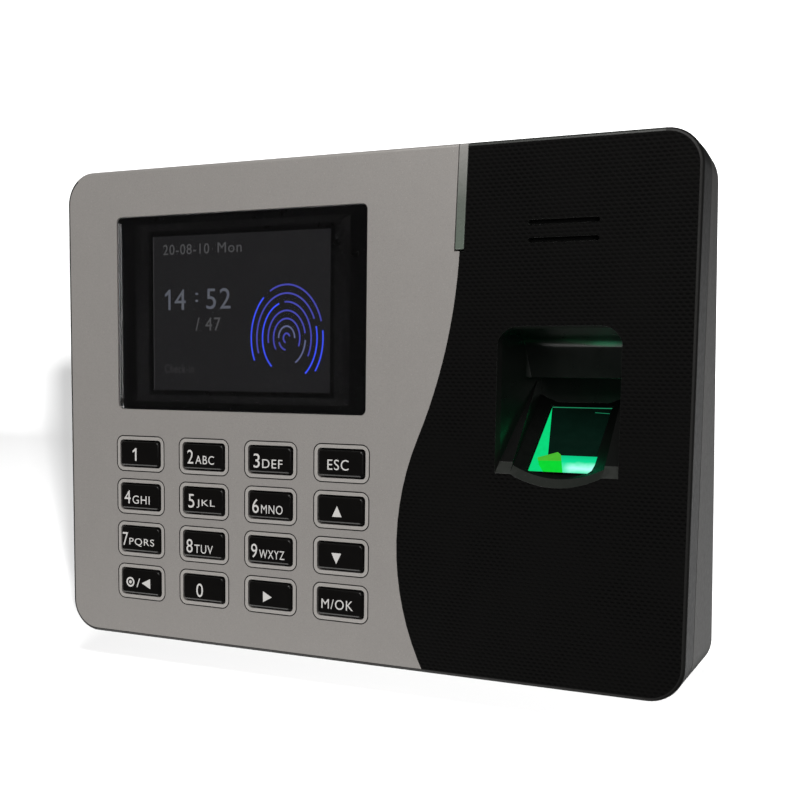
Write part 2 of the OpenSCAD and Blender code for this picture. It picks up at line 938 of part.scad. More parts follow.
module usb_socket() {
    color([0.78, 0.79, 0.8]) on_wall()
        translate([usb_x - usb_size[0] / 2, board_back, socket_z0]) {
            difference() {
                cube(usb_size);
                translate([0.9, 1, -1]) cube([12.6, 5.2, 11]);
            }
            translate([1.6, 3.6, 1]) cube([11.2, 1.9, 9.5]);
        }
}

module power_socket() {
    color([0.08, 0.08, 0.08]) on_wall()
        translate([dc_x, board_back, socket_z0]) {
            difference() {
                translate([-dc_size[0] / 2, 0, 0]) cube([dc_size[0], dc_size[1], dc_size[2]]);
                translate([0, 6, -1]) cylinder(r = 2.9, h = 10);
            }
            translate([0, 6, 0.5]) cylinder(r = 1, h = 9);
        }
}

// A small push switch behind the pocket floor.
module switch_body(x) {
    y = -pocket_d - floor_t;
    difference() {
        translate([x, y - switch_d / 2, switch_z]) cube([switch_s, switch_d, switch_s], center = true);
        translate([x, y - 4, switch_z]) rotate([-90, 0, 0]) cylinder(r = 1.7, h = 6);
    }
}

module tamper_switch() {
    color([0.12, 0.12, 0.12]) switch_body(tamper_x);
}

module tamper_plunger() {
    color([0.85, 0.85, 0.8])
        translate([tamper_x, -pocket_d - floor_t - 2.6, switch_z])
            rotate([-90, 0, 0])
                cylinder(r = 1.1, h = pocket_d + floor_t + 2.6 - bracket_t - 0.2);
}

module reset_switch() {
    color([0.12, 0.12, 0.12]) switch_body(reset_x);
}

module reset_button() {
    color([0.8, 0.3, 0.2])
        translate([reset_x, -pocket_d - floor_t - 2.6, switch_z])
            rotate([-90, 0, 0])
                cylinder(r = 1.2, h = 3.4);
}

// The steel wall plate: four hooks, a cable window and a leg with the locking tab.
module wall_bracket() {
    color([0.7, 0.71, 0.73]) difference() {
        union() {
            translate([0, -bracket_t, 0]) plate(0, bracket_t) rounded(bracket_w, bracket_h, 3);
            box([leg_x - leg_w / 2, -bracket_t, tab_z], [leg_x + leg_w / 2, 0, -bracket_h / 2 + 3]);
            box([leg_x - leg_w / 2, -tab_reach, tab_z], [leg_x + leg_w / 2, 0, tab_z + bracket_t]);
            for (x = [-hook_x, hook_x]) {
                for (z = hook_z) {
                    hook(x, z);
                }
            }
        }
        for (x = [-screw_dx / 2, screw_dx / 2]) {
            for (z = [-screw_dz / 2, screw_dz / 2]) {
                post(x, z, screw_hole_d / 2, -5, 5);
            }
        }
        translate([0, -5, 0]) plate(0, 10) rounded(window_hole_w, window_hole_h, 2);
        translate([leg_x, lock_y, tab_z - 1]) cylinder(r = 1.6, h = 4);
    }
}

module hook(x, z) {
    w = hook_w / 2;
    box([x - w, -hook_reach, z], [x + w, 0, z + hook_t]);
    box([x - w, -hook_reach, z], [x + w, -hook_reach + hook_lip_t, z + hook_t + hook_lip_h]);
}

module lock_screw() {
    color([0.75, 0.75, 0.77]) translate([leg_x, lock_y, 0]) {
        translate([0, 0, tab_z]) cylinder(r = 1.5, h = 10);
        difference() {
            translate([0, 0, tab_z - 2.2]) cylinder(r = 3, h = 2.2);
            translate([0, 0, tab_z - 3]) cylinder(r = 1.4, h = 2, $fn = 6);
        }
    }
}

module screw(x, z, r, y0, y1) {
    post(x, z, r, y0, y1);
    difference() {
        post(x, z, r * 1.9, y1, y1 + r * 1.2);
        post(x, z, r * 0.9, y1 + r * 0.5, y1 + r * 1.2 + 1);
    }
}

module case_screws() {
    color([0.7, 0.7, 0.72]) on_wall()
        for (spot = case_screw_spots) screw(spot[0], spot[1], shank_r, 5, case_head_y);
}

module board_screws() {
    color([0.7, 0.7, 0.72]) on_wall()
        for (spot = board_screw_spots) screw(spot[0], spot[1], small_shank_r, 6, board_back);
}

module keypad_screws() {
    color([0.7, 0.7, 0.72]) on_wall()
        for (spot = pad_screw_spots) {
            screw(spot[0], spot[1], small_shank_r, 5.5, pad_board_y + pad_board_t);
        }
}

module sensor_screws() {
    color([0.7, 0.7, 0.72]) on_wall()
        for (spot = sensor_screw_spots) {
            screw(spot[0], spot[1], small_shank_r, 1.3, shell_front_t + hood_flange_t);
        }
}

wall_bracket();
lock_screw();
front_shell();
faceplate();
light_bar();
screen_window();
screen_gasket();
lcd_panel();
lcd_tray();
lcd_ribbon();
keypad_mat();
keypad_board();
keypad_ribbon();
main_board();
board_chips();
backup_battery();
status_board();
speaker();
speaker_mesh();
speaker_wires();
sensor_hood();
sensor_prism();
sensor_housing();
sensor_leds();
sensor_lens();
sensor_board();
sensor_ribbon();
rear_shell();
usb_socket();
network_socket();
power_socket();
tamper_switch();
tamper_plunger();
reset_switch();
reset_button();
case_screws();
board_screws();
keypad_screws();
sensor_screws();
for (row = ROWS) {
    for (key = row) {
        key_piece(key);
    }
}
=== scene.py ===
"""A wall-mounted fingerprint terminal: finished surfaces, key legends, a lit screen and a lit sensor.

Places on the terminal are given in its face frame, in millimetres: x to the right, y into the body
and z up the leaning face, with the origin at the centre of the front face.
"""

import json
import math

import bmesh
import bpy
from mathutils import Matrix, Vector

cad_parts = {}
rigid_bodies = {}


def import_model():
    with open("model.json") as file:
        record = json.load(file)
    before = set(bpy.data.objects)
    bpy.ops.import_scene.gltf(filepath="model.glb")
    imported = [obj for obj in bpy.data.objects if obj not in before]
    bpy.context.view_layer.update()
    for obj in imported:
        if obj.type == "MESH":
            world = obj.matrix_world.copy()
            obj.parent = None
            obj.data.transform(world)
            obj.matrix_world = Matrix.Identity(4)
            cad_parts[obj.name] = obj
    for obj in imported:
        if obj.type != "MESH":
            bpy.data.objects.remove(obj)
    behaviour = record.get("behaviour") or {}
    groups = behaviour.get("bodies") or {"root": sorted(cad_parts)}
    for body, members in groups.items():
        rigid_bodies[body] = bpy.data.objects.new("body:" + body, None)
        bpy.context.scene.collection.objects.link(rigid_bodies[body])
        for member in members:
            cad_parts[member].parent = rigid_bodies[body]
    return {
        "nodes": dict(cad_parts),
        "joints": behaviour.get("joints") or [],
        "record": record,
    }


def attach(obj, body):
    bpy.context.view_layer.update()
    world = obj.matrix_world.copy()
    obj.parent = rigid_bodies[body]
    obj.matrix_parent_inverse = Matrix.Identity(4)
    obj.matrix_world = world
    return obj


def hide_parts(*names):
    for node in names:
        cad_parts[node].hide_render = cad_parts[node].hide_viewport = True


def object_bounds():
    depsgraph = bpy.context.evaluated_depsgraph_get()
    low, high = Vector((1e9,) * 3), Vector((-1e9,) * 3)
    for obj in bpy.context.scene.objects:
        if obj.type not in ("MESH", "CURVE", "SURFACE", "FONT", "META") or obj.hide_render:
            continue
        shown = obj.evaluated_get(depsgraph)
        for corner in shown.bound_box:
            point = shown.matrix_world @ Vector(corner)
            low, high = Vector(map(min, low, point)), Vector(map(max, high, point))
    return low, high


MM = 0.001

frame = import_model()
cad_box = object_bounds()
nodes = frame["nodes"]
record = frame["record"]
body_of = {n: body for body, members in record["behaviour"]["bodies"].items() for n in members}
slot_of = {part["node"]: part["material_slot"] for part in record["subparts"]}

# ---------------------------------------------------------------- the face frame

RIGHT = Vector((1, 0, 0))
INTO = Vector(next(j["axis"] for j in frame["joints"] if j["name"] == "press_1")).normalized()
UP = RIGHT.cross(INTO)


def span(node, direction):
    """The least and greatest reach of a CAD node along a direction, in metres."""
    reach = [v.co.dot(direction) for v in nodes[node].data.vertices]
    return min(reach), max(reach)


def middle(node, direction):
    """How far along a direction the middle of a CAD node lies, in metres."""
    return sum(span(node, direction)) / 2


FRONT = span("front_shell", INTO)[0]
ORIGIN = INTO * FRONT + UP * middle("front_shell", UP) + RIGHT * middle("front_shell", RIGHT)


def face(x, y, z):
    """World place of a point given in the face frame."""
    return ORIGIN + (RIGHT * x + INTO * y + UP * z) * MM


def to_face(point):
    """The place of a world point in the face frame."""
    return tuple((point - ORIGIN).dot(direction) / MM for direction in (RIGHT, INTO, UP))


def face_box(node):
    """(left, right, front, back, bottom, top) of a CAD node in the face frame."""
    sides = []
    for direction in (RIGHT, INTO, UP):
        sides += [(reach - ORIGIN.dot(direction)) / MM for reach in span(node, direction)]
    return sides


def face_middle(node):
    """(x, z) of the middle of a CAD node in the face frame."""
    left, right, _, _, bottom, top = face_box(node)
    return (left + right) / 2, (bottom + top) / 2


# ---------------------------------------------------------------- materials


class Shade:
    """A Principled material and short ways to wire procedural detail into it."""

    def __init__(self, name, color, rough, metal=0.0, specular=0.5, coat=0.0):
        self.material = bpy.data.materials.new(name)
        self.material.use_nodes = True
        self.tree = self.material.node_tree
        self.shader = self.tree.nodes["Principled BSDF"]
        self.put("Base Color", (*color, 1))
        self.put("Roughness", rough)
        self.put("Metallic", metal)
        self.put("Specular IOR Level", specular)
        self.put("Coat Weight", coat)
        self.color = color
        self.rough = rough
        self.place = self.node("ShaderNodeTexCoord").outputs["Object"]
        self.normal = None

    def put(self, socket, value):
        """Sets an even value on the shader's own socket."""
        self.shader.inputs[socket].default_value = value

    def node(self, kind, inputs=(), **settings):
        """A new node whose inputs are values or the outputs of other nodes."""
        made = self.tree.nodes.new(kind)
        for key, value in settings.items():
            setattr(made, key, value)
        for socket, value in dict(inputs).items():
            if isinstance(value, bpy.types.NodeSocket):
                self.tree.links.new(value, made.inputs[socket])
            else:
                made.inputs[socket].default_value = value
        return made

    def math(self, operation, a, b=0.0, c=0.0):
        return self.node("ShaderNodeMath", {0: a, 1: b, 2: c}, operation=operation).outputs[0]

    def along(self, direction):
        """Millimetres along a world direction, from the world's origin."""
        dot = self.node(
            "ShaderNodeVectorMath", {0: self.place, 1: direction / MM}, operation="DOT_PRODUCT"
        )
        return dot.outputs["Value"]

    def noise(self, grain, detail=2.0):
        """Noise whose features are about grain millimetres wide, from 0 to 1."""
        inputs = {"Vector": self.place, "Scale": 1 / (grain * MM), "Detail": detail, "Roughness": 0.6}
        return self.node("ShaderNodeTexNoise", inputs).outputs["Fac"]

    def between(self, value, low, high, to_low, to_high):
        """Maps low..high to to_low..to_high and holds the ends."""
        inputs = {
            "Value": value, "From Min": low, "From Max": high, "To Min": to_low, "To Max": to_high
        }
        return self.node("ShaderNodeMapRange", inputs).outputs["Result"]

    def blend(self, value, first, second):
        """The first colour where value is 0 and the second where it is 1."""
        mix = self.node("ShaderNodeMix", {0: value}, data_type="RGBA")
        for socket, color in ((6, first), (7, second)):
            if isinstance(color, bpy.types.NodeSocket):
                self.tree.links.new(color, mix.inputs[socket])
            else:
                mix.inputs[socket].default_value = (*color, 1)
        return mix.outputs[2]

    def link(self, output, socket):
        self.tree.links.new(output, self.shader.inputs[socket])

    def mottle(self, grain, amount):
        """Slight blotches of lighter and darker colour."""
        dark = [c * (1 - amount) for c in self.color]
        light = [c * (1 + amount) for c in self.color]
        self.link(self.blend(self.noise(grain), dark, light), "Base Color")
        return self

    def vary_gloss(self, grain, amount):
        """Patches a little rougher and a little smoother than the rest."""
        fac = self.noise(grain, 3.0)
        low, high = max(self.rough - amount, 0.02), self.rough + amount
        self.link(self.between(fac, 0.3, 0.7, low, high), "Roughness")
        return self

    def bump(self, height, depth, strength=1.0):
        """Relief from a height of 0 to 1, depth millimetres deep."""
        inputs = {"Strength": strength, "Distance": depth * MM, "Height": height}
        if self.normal is not None:
            inputs["Normal"] = self.normal
        self.normal = self.node("ShaderNodeBump", inputs).outputs["Normal"]
        self.link(self.normal, "Normal")
        return self

    def texture(self, grain, depth, strength=1.0):
        """An even grain all over."""
        return self.bump(self.noise(grain), depth, strength)


def moulded(name, color, rough, grain=0.25, depth=0.012, specular=0.4):
    """Moulded plastic with a fine spark texture."""
    shade = Shade(name, color, rough, specular=specular)
    return shade.mottle(6, 0.06).vary_gloss(1.5, 0.05).texture(grain, depth)


def polished(name, color, rough, specular=0.5):
    """Smooth plastic with faint handling marks."""
    return Shade(name, color, rough, specular=specular).mottle(4, 0.05).vary_gloss(3, 0.03)


def plated(name, color, rough, stretch=None):
    """Sheet metal or plating, brushed where stretch is given."""
    shade = Shade(name, color, rough, metal=1.0)
    if stretch:
        turned = shade.node("ShaderNodeMapping", {"Vector": shade.place, "Scale": stretch})
        shade.place = turned.outputs["Vector"]
    return shade.mottle(2, 0.08).vary_gloss(0.8, 0.08).texture(0.3, 0.004)


# The plate's silver. The shell's rim takes it beside the plate, left of RIM_END.
SILVER = (0.4, 0.382, 0.368)
RIM_END = 0.0
# A surface faces up where its normal's part along UP is more than this.
FACES_UP = 0.2
# Staggered dimples of the black part: pitch across and up, and the half size of one dimple.
DIMPLE_PITCH = (1.6, 0.95)
DIMPLE_HALF = (0.42, 0.36)


def dimpled(name, color, dark, rough, depth):
    """Black plastic covered with staggered oval dimples, darkened in their hollows as painted shade, and
    silver on the rim beside the plate.
    """
    shade = Shade(name, color, rough, specular=0.06)
    rows = shade.math("DIVIDE", shade.along(UP), DIMPLE_PITCH[1])
    odd = shade.math("MODULO", shade.math("FLOOR", shade.math("ADD", rows, 1000.0)), 2.0)
    columns = shade.math("DIVIDE", shade.along(RIGHT), DIMPLE_PITCH[0])
    columns = shade.math("MULTIPLY_ADD", odd, 0.5, columns)
    across = shade.math("SUBTRACT", shade.math("FRACT", columns), 0.5)
    upward = shade.math("SUBTRACT", shade.math("FRACT", rows), 0.5)
    across = shade.math("POWER", shade.math("DIVIDE", across, DIMPLE_HALF[0]), 2.0)
    upward = shade.math("POWER", shade.math("DIVIDE", upward, DIMPLE_HALF[1]), 2.0)
    radius = shade.math("SQRT", shade.math("ADD", across, upward))
    height = shade.between(radius, 0.5, 1.15, 0.0, 1.0)
    # Painted shade: each dimple's hollow is darkened towards dark, by an amount that wavers.
    waver = shade.between(shade.noise(14), 0.35, 0.65, 0.45, 1.0)
    dimple_shade = shade.math("MULTIPLY", waver, shade.math("SUBTRACT", 1.0, height))
    beside = shade.math("LESS_THAN", shade.along(RIGHT), RIM_END)
    shade.link(shade.blend(beside, shade.blend(dimple_shade, color, dark), SILVER), "Base Color")
    shade.vary_gloss(2, 0.04)
    return shade.bump(height, depth).texture(0.12, 0.006)


def shell_edge():
    """Glossier black of the shell's rounded edges, lighter than the shell as a painted highlight, and
    beside the plate silver where they face up and black elsewhere, a painted shade.
    """
    black = (0.045, 0.048, 0.045)
    shade = polished("edge_painted_sheen_and_shade", black, 0.3)
    facing = shade.node("ShaderNodeNewGeometry").outputs["Normal"]
    rising = shade.node("ShaderNodeVectorMath", {0: facing, 1: UP}, operation="DOT_PRODUCT")
    # Painted shade: beside the plate, edges that don't face up keep the black.
    upward = shade.math("GREATER_THAN", rising.outputs["Value"], FACES_UP)
    beside = shade.math("LESS_THAN", shade.along(RIGHT), RIM_END)
    shade.link(shade.blend(shade.math("MULTIPLY", beside, upward), black, SILVER), "Base Color")
    return shade


def silver_paint(name, color):
    """Satin silver paint: fine grain and tiny bright flakes."""
    shade = Shade(name, color, 0.46, metal=0.3, specular=0.4)
    dark, light = ([c * k for c in color] for k in (0.965, 1.035))
    blotch = shade.blend(shade.noise(9, 3.0), dark, light)
    grain = shade.between(shade.noise(0.16, 1.0), 0.3, 0.7, 0.0, 1.0)
    fine = shade.blend(grain, (0.86, 0.86, 0.86), (1.1, 1.1, 1.1))
    body = shade.node("ShaderNodeMix", {0: 1.0}, data_type="RGBA", blend_type="MULTIPLY")
    shade.tree.links.new(blotch, body.inputs[6])
    shade.tree.links.new(fine, body.inputs[7])
    flakes = shade.node("ShaderNodeTexVoronoi", {"Vector": shade.place, "Scale": 1 / (0.55 * MM)})
    spot = shade.between(flakes.outputs["Distance"], 0.05, 0.12, 1.0, 0.0)
    pick = shade.node("ShaderNodeSeparateColor", {"Color": flakes.outputs["Color"]}).outputs["Red"]
    chosen = shade.math("GREATER_THAN", pick, 0.86)
    lit = shade.math("MULTIPLY", spot, chosen)
    shade.link(shade.blend(lit, body.outputs[2], (0.85, 0.84, 0.82)), "Base Color")
    shade.vary_gloss(0.3, 0.06)
    return shade.texture(0.16, 0.006, 0.6)


def light_pipe():
    """Satin translucent bar with painted light: its colour runs from a dim, faintly green foot to a paler
    top.
    """
    shade = Shade("light_pipe", (0.3, 0.32, 0.3), 0.28, specular=0.5, coat=0.3)
    low, high = span("light_bar", UP)
    rise = shade.between(shade.along(UP), low / MM, high / MM, 0.0, 1.0)
    ramp = shade.node("ShaderNodeValToRGB", {"Fac": rise})
    # Painted light: a dim, faintly green foot rising to a pale top.
    painted_light_stops = ((0.0, (0.135, 0.17, 0.14)), (0.45, (0.15, 0.17, 0.15)), (1.0, (0.36, 0.35, 0.34)))
    for i, (at, color) in enumerate(painted_light_stops):
        stop = ramp.color_ramp.elements[i] if i < 2 else ramp.color_ramp.elements.new(at)
        stop.position = at
        stop.color = (*color, 1)
    shade.link(ramp.outputs["Color"], "Base Color")
    return shade.vary_gloss(1.2, 0.05)


def clear_cover():
    """Hard clear plastic with a polished face."""
    shade = Shade("clear_cover", (0.93, 0.93, 0.95), 0.02, specular=0.5)
    shade.put("Transmission Weight", 1.0)
    shade.put("IOR", 1.49)
    return shade.vary_gloss(8, 0.01)


def platen_glass():
    """Dark coated glass of the sensor."""
    shade = Shade("platen_glass", (0.003, 0.014, 0.009), 0.12, specular=0.4)
    return shade.mottle(4, 0.3).vary_gloss(2, 0.04)


def lamp(name, color, strength, grain=1.5):
    """A lit surface whose brightness wavers slightly."""
    shade = Shade(name, (0.003, 0.003, 0.003), 0.4, specular=0.1)
    low = [c * 0.82 for c in color]
    high = [min(c * 1.12, 1.0) for c in color]
    shade.put("Emission Strength", strength)
    shade.link(shade.blend(shade.noise(grain), low, high), "Emission Color")
    return shade


FINISH = {
    "black_shell": moulded("black_shell", (0.0085, 0.0085, 0.0082), 0.5, specular=0.3),
    "silver_paint": silver_paint("silver_paint", SILVER),
    "rear_grey": moulded("rear_grey", (0.076, 0.074, 0.069), 0.5, grain=0.4, depth=0.02),
    "light_pipe": light_pipe(),
    "window_black": clear_cover(),
    "screen_glass": polished("screen_glass", (0.012, 0.012, 0.014), 0.2),
    "key_black": polished("key_black", (0.005, 0.0046, 0.0044), 0.2, specular=0.3),
    "prism_glass": platen_glass(),
    "steel": plated("steel", (0.5, 0.51, 0.53), 0.36, stretch=(0.1, 1, 1)),
    "nickel": plated("nickel", (0.66, 0.66, 0.67), 0.24),
    "board_green": polished("board_green", (0.012, 0.16, 0.07), 0.35),
    "chip_black": moulded("chip_black", (0.02, 0.02, 0.021), 0.5),
    "ribbon": polished("ribbon", (0.5, 0.28, 0.08), 0.3),
    "silicone": moulded("silicone", (0.3, 0.31, 0.31), 0.7, grain=0.3),
    "foam": moulded("foam", (0.012, 0.012, 0.012), 0.9, grain=0.5, depth=0.05),
    "wire": polished("wire", (0.4, 0.03, 0.03), 0.4),
    "switch_plastic": moulded("switch_plastic", (0.55, 0.53, 0.46), 0.45),
}
for node, obj in nodes.items():
    obj.data.materials.clear()
    obj.data.materials.append(FINISH[slot_of[node]].material)

# ---------------------------------------------------------------- pieces


def piece(name, mesh, body, slot, *shades):
    """A new piece that rides on a body and wears the given shades; slot is not used."""
    obj = bpy.data.objects.new(name, mesh)
    bpy.context.scene.collection.objects.link(obj)
    mesh.materials.clear()
    for shade in shades:
        mesh.materials.append(shade.material)
    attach(obj, body)
    return obj


WELD = 2e-6
FLAT = math.radians(0.5)
CREASE = math.radians(32)


def cleaned(node):
    """A welded copy of a CAD node's mesh with its flat areas merged into single faces."""
    mesh = nodes[node].data.copy()
    if "custom_normal" in mesh.attributes:
        mesh.attributes.remove(mesh.attributes["custom_normal"])
    bm = bmesh.new()
    bm.from_mesh(mesh)
    bmesh.ops.remove_doubles(bm, verts=bm.verts, dist=WELD)
    bmesh.ops.dissolve_limit(
        bm, angle_limit=FLAT, verts=bm.verts, edges=bm.edges, delimit={"NORMAL"}
    )
    for polygon in bm.faces:
        polygon.smooth = True
    bm.to_mesh(mesh)
    bm.free()
    return mesh


def round_edges(obj, edge, segments=3, finish=-1):
    """Rounds the sharp edges of a piece, which take the material numbered finish where one is given."""
    bevel = obj.modifiers.new("edges", "BEVEL")
    bevel.material = finish
    bevel.width = edge * MM
    bevel.segments = segments
    bevel.limit_method = "ANGLE"
    bevel.angle_limit = CREASE
    bevel.miter_outer = "MITER_ARC"
    bevel.face_strength_mode = "FSTR_ALL"
    normals = obj.modifiers.new("normals", "WEIGHTED_NORMAL")
    normals.keep_sharp = False
    normals.use_face_influence = True
    return obj


def refined(node, edge, *shades, segments=3, finish=-1):
    """Replaces a CAD node with a copy whose edges are rounded."""
    slot = slot_of[node]
    obj = piece(node + "_finish", cleaned(node), body_of[node], slot, *(shades or [FINISH[slot]]))
    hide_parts(node)
    return round_edges(obj, edge, segments, finish)


# Rounding of the edges that can be seen, in millimetres.
EDGES = {
    "rear_shell": 0.3, "wall_bracket": 0.25,
    "lock_screw": 0.15, "usb_socket": 0.15, "network_socket": 0.2, "power_socket": 0.2,
    "tamper_switch": 0.2, "tamper_plunger": 0.15, "reset_switch": 0.2, "reset_button": 0.2,
    "case_screws": 0.12, "speaker_mesh": 0.1,
}
for node, edge in EDGES.items():
    refined(node, edge)

# The faceplate: the grooves round the keys and its side and lower edges are dark, a painted shade, and the
# rims inside the grooves are paler, a painted highlight.
GROOVE_SHADE = moulded("groove_painted_shade", (0.02, 0.019, 0.018), 0.6)
RIM_SHEEN_SILVER = silver_paint("rim_painted_sheen", (0.52, 0.5, 0.48))
KEYS = [name for name in nodes if name.startswith("key_")]
KEY_MIDDLES = [face_middle(key) for key in KEYS]
# Half the width and height of a key's frame, and the depths behind the face that tell the flat face
# and the walls of the grooves from what is deeper.
KEY_FRAME_HALF = (8.6, 5.4)
FACE_LEVEL = 0.05
GROOVE_LEVEL = 0.6


def frames_key(corners):
    """Whether points of the face frame all lie inside the groove round one key."""
    half_w, half_h = KEY_FRAME_HALF
    return any(
        all(abs(x - key_x) < half_w and abs(z - key_z) < half_h for x, _, z in corners)
        for key_x, key_z in KEY_MIDDLES
    )


faceplate = refined("faceplate", 0.08, FINISH["silver_paint"], GROOVE_SHADE, RIM_SHEEN_SILVER)
for polygon in faceplate.data.polygons:
    framing = frames_key([to_face(faceplate.data.vertices[i].co) for i in polygon.vertices])
    _, level, _ = to_face(polygon.center)
    shaded = framing or polygon.normal.dot(UP) < FACES_UP
    # Painted shade: the grooves round the keys, and the plate's edges that don't face up.
    if FACE_LEVEL < level < GROOVE_LEVEL and shaded:
        polygon.material_index = 1
    # Painted highlight: the flat rims inside the grooves take a paler silver.
    elif framing and level < FACE_LEVEL:
        polygon.material_index = 2

# The black front shell: dimpled on its face, plain on its sides, and smooth on the ramps and lip, painted
# lighter and greener there as painted light.
# The second colour is the painted shade in the dimples' hollows.
BLACK_FACE = dimpled("black_face", (0.0038, 0.0037, 0.0036), (0.0003, 0.0003, 0.0003), 0.6, 0.05)
RAMP_LIT_BLACK = moulded("ramp_painted_light", (0.022, 0.025, 0.022), 0.34, grain=0.4, depth=0.006)
# The shell's rounded edges: a painted highlight, with painted shade beside the plate where they don't face
# up.
EDGE_SHEEN_AND_SHADE = shell_edge()
# How far behind the face the dimpled part and the ramps reach.
DIMPLED_LEVEL = 0.2
RAMP_LEVEL = 8
front_shell = refined(
    "front_shell", 0.28, FINISH["black_shell"], BLACK_FACE, RAMP_LIT_BLACK, EDGE_SHEEN_AND_SHADE, finish=3
)
recess_left, recess_right = face_box("sensor_hood")[:2]
for polygon in front_shell.data.polygons:
    across, level, _ = to_face(polygon.center)
    if level < DIMPLED_LEVEL and polygon.normal.dot(INTO) < -0.99:
        polygon.material_index = 1
    # Painted light: ramps and lip inside the recess that face up take the lighter, greener black.
    elif recess_left < across < recess_right and level < RAMP_LEVEL and polygon.normal.dot(UP) > FACES_UP:
        polygon.material_index = 2

# The hood: matt black round the glass; its brow, ceiling and other faces that don't face up are a little
# glossier and painted a lighter, greener black, a painted light.
HOOD_BLACK = moulded("hood_black", (0.0018, 0.002, 0.0018), 0.5, grain=0.4, depth=0.006, specular=0.1)
BROW_LIT_BLACK = polished("brow_painted_light", (0.0055, 0.0065, 0.0058), 0.3)
hood = refined("sensor_hood", 0.35, HOOD_BLACK, BROW_LIT_BLACK)
for polygon in hood.data.polygons:
    # Painted light: faces that don't face up take the lighter, greener black.
    if polygon.normal.dot(UP) < 0.1:
        polygon.material_index = 1

# The light bar sits in its slot with a hairline gap at its sides and twice that at its foot.
BAR_GAP = 0.22


def narrowed_bar():
    """The light bar's mesh, drawn in from the walls of its slot."""
    mesh = cleaned("light_bar")
    left, right, front, back, bottom, top = face_box("light_bar")
    centre = face((left + right) / 2, (front + back) / 2, (bottom + top) / 2)
    for vertex in mesh.vertices:
        arm = vertex.co - centre
        vertex.co -= RIGHT * arm.dot(RIGHT) * 2 * BAR_GAP / (right - left)
        if arm.dot(UP) < 0:
            vertex.co -= UP * arm.dot(UP) * 4 * BAR_GAP / (top - bottom)
    return mesh


light_bar = piece("light_bar_finish", narrowed_bar(), "terminal", "light_pipe", FINISH["light_pipe"])
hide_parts("light_bar")
round_edges(light_bar, 0.25)

# ---------------------------------------------------------------- flat artwork


def sheet_mesh(name, outlines, place):
    """A mesh of flat outlines, each a list of (u, v), put into the world by place(u, v)."""
    bm = bmesh.new()
    for outline in outlines:
        bm.faces.new([bm.verts.new(place(u, v)) for u, v in outline])
    mesh = bpy.data.meshes.new(name)
    bm.to_mesh(mesh)
    bm.free()
    return mesh


def slab_mesh(name, outlines, place, ink):
    """Like sheet_mesh, but ink millimetres thick: place(u, v, w) with w from 0 out to ink."""
    bm = bmesh.new()
    for outline in outlines:
        low = [bm.verts.new(place(u, v, 0)) for u, v in outline]
        high = [bm.verts.new(place(u, v, ink)) for u, v in outline]
        bm.faces.new(high)
        bm.faces.new(low[::-1])
        for i in range(len(low)):
            j = (i + 1) % len(low)
            bm.faces.new([low[i], low[j], high[j], high[i]])
    mesh = bpy.data.meshes.new(name)
    bm.to_mesh(mesh)
    bm.free()
    return mesh


INK = 0.03
LETTER_SPACE = 1.12


def lettering(name, words, box, depth):
    """Mesh of printed words that fill box = (left, bottom, width, height) at a depth."""
    curve = bpy.data.curves.new(name, "FONT")
    curve.body = words
    curve.extrude = 1
    curve.space_character = LETTER_SPACE
    holder = bpy.data.objects.new(name, curve)
    bpy.context.scene.collection.objects.link(holder)
    evaluated = holder.evaluated_get(bpy.context.evaluated_depsgraph_get())
    mesh = bpy.data.meshes.new_from_object(evaluated)
    bpy.data.objects.remove(holder)
    bpy.data.curves.remove(curve)
    left, bottom, width, height = box
    low = [min(v.co[i] for v in mesh.vertices) for i in range(2)]
    high = [max(v.co[i] for v in mesh.vertices) for i in range(2)]
    for vertex in mesh.vertices:
        x = left + width * (vertex.co.x - low[0]) / (high[0] - low[0])
        z = bottom + height * (vertex.co.y - low[1]) / (high[1] - low[1])
        vertex.co = face(x, depth - (INK if vertex.co.z > 0 else 0), z)
    return mesh


def ring(radius_out, radius_in, centre, steps=32):
    """Quads of a flat ring."""
    quads = []
    for i in range(steps):
        a, b = (2 * math.pi * (i + k) / steps for k in (0, 1))
        corners = ((radius_out, a), (radius_out, b), (radius_in, b), (radius_in, a))
        quads.append([(centre[0] + r * math.cos(t), centre[1] + r * math.sin(t)) for r, t in corners])
    return quads


def disc(radius, centre, steps=20):
    """Outline of a round spot."""
    turn = 2 * math.pi / steps
    return [
        (centre[0] + radius * math.cos(turn * i), centre[1] + radius * math.sin(turn * i))
        for i in range(steps)
    ]


def ribbon(points, width):
    """Quads of a flat line of even width along points."""
    sides = []
    for i, point in enumerate(points):
        before, after = points[max(i - 1, 0)], points[min(i + 1, len(points) - 1)]
        dx, dz = after[0] - before[0], after[1] - before[1]
        length = math.hypot(dx, dz)
        nx, nz = -dz / length * width / 2, dx / length * width / 2
        sides.append(((point[0] + nx, point[1] + nz), (point[0] - nx, point[1] - nz)))
    return [[a[0], a[1], b[1], b[0]] for a, b in zip(sides, sides[1:])]


# ---------------------------------------------------------------- keys

LEGEND_WHITE = polished("legend_white", (0.72, 0.71, 0.7), 0.4)
# The print sits this far right of and above where the tables below put it.
NUDGE = (0.2, -0.1)
DIGIT_H = 3.9
LETTER_H = 2.4
